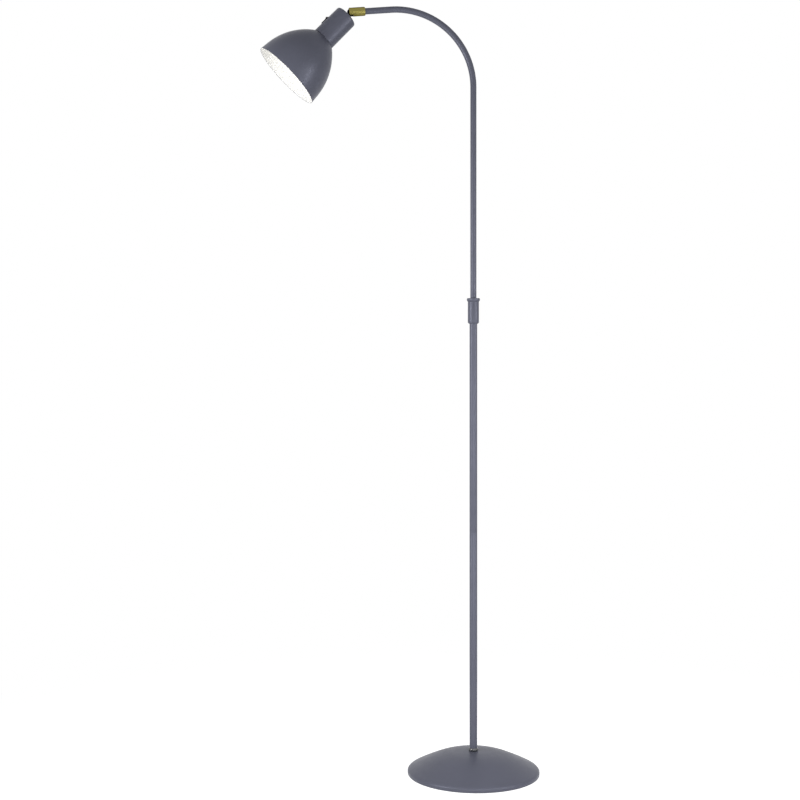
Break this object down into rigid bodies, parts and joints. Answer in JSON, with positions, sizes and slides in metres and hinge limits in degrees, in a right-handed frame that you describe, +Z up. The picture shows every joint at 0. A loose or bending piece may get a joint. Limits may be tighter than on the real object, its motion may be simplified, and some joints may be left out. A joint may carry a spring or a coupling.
{
  "type": "reading floor lamp",
  "caption": "Floor reading lamp: domed weighted base, telescopic pole, swan-neck arm, ball-joint knuckle and spun metal shade with a switched lampholder.",
  "frame": {"origin": "centre of the base on the floor, under the pole's axis", "axes": "+Z up along the pole, the arm bends over towards -X, the cable comes in at +Y"},
  "size_m": [0.5425, 0.2585, 1.4949],
  "materials": {
    "grey_paint": "satin slate-grey paint",
    "shade_paint": "satin slate-grey paint outside, white paint inside",
    "black_gloss": "glossy black",
    "black_rubber": "matte black",
    "cast_weight": "raw cast surface",
    "zinc_steel": "zinc plated",
    "white_nylon": "natural nylon",
    "polished_brass": "lacquered turned brass",
    "black_steel": "blackened steel",
    "holder_plastic": "matte black thermoset",
    "switch_plastic": "matte black",
    "opal_glass": "opal white",
    "cap_metal": "rolled cap",
    "spring_steel": "oiled"
  },
  "bodies": {
    "stand": {"base_cover": "grey_paint", "foot_pad": "black_rubber", "base_weight": "cast_weight", "base_nipple": "zinc_steel", "base_washer": "zinc_steel", "lock_washer": "zinc_steel", "base_nut": "zinc_steel", "cable_grommet": "black_rubber", "foot_ring": "black_gloss", "pole_bottom_insert": "zinc_steel", "lower_pole_tube": "grey_paint", "pole_sockets": "zinc_steel", "pole_joiner": "zinc_steel", "upper_pole_tube": "grey_paint", "pole_top_bush": "white_nylon", "collar_sleeve": "grey_paint", "collet": "white_nylon"},
    "collar_nut": {"collar_nut": "grey_paint"},
    "slider": {"guide_sleeve": "white_nylon"},
    "arm": {"guide_clips": "spring_steel", "arm_tube": "grey_paint", "arm_nipple": "zinc_steel", "swivel_washer": "spring_steel", "swivel_nut": "zinc_steel"},
    "knuckle": {"knuckle_end_cap": "polished_brass", "knuckle_barrel": "polished_brass", "thrust_washer": "zinc_steel", "disc_springs": "spring_steel", "ball_seat": "white_nylon"},
    "ball": {"knuckle_ball": "black_steel", "stem_washer": "zinc_steel", "stem_nut": "zinc_steel"},
    "head": {"holder_cup": "grey_paint", "lampholder_cap": "holder_plastic", "lampholder_body": "holder_plastic", "socket_shell": "polished_brass", "centre_contact": "polished_brass", "switch_body": "switch_plastic", "shade": "shade_paint", "shade_ring": "holder_plastic"},
    "rocker": {"switch_rocker": "switch_plastic"},
    "bulb": {"bulb_glass": "opal_glass", "bulb_cap": "cap_metal", "bulb_insulator": "black_gloss", "bulb_contact": "cap_metal"}
  },
  "joints": [
    {"name": "height_slide", "type": "slide", "parent": "stand", "child": "slider", "axis": [0, 0, 1], "range_m": [-0.352, 0]},
    {"name": "neck_swivel", "type": "hinge", "parent": "slider", "child": "arm", "pos_m": [0, 0, 0.9], "axis": [0, 0, 1], "range_deg": [-175, 175]},
    {"name": "collar_nut_turn", "type": "hinge", "parent": "stand", "child": "collar_nut", "pos_m": [0, 0, 0.925], "axis": [0, 0, 1], "range_deg": [0, 180]},
    {"name": "knuckle_swivel", "type": "hinge", "parent": "arm", "child": "knuckle", "pos_m": [-0.21215, 0, 1.48368], "axis": [-0.9957, 0, -0.0924], "range_deg": [-165, 165]},
    {"name": "head_tilt", "type": "hinge", "parent": "knuckle", "child": "ball", "pos_m": [-0.24013, 0, 1.48109], "axis": [0, 1, 0], "range_deg": [-50, 54]},
    {"name": "head_twist", "type": "hinge", "parent": "ball", "child": "head", "pos_m": [-0.24013, 0, 1.48109], "axis": [-0.7009, 0, -0.7133], "range_deg": [-165, 165]},
    {"name": "rocker_press", "type": "hinge", "parent": "head", "child": "rocker", "pos_m": [-0.28812, 0, 1.46122], "axis": [0, 1, 0], "range_deg": [0, 20]},
    {"name": "bulb_unscrew", "type": "slide", "parent": "head", "child": "bulb", "axis": [-0.7009, 0, -0.7133], "range_m": [0, 0.024]}
  ]
}
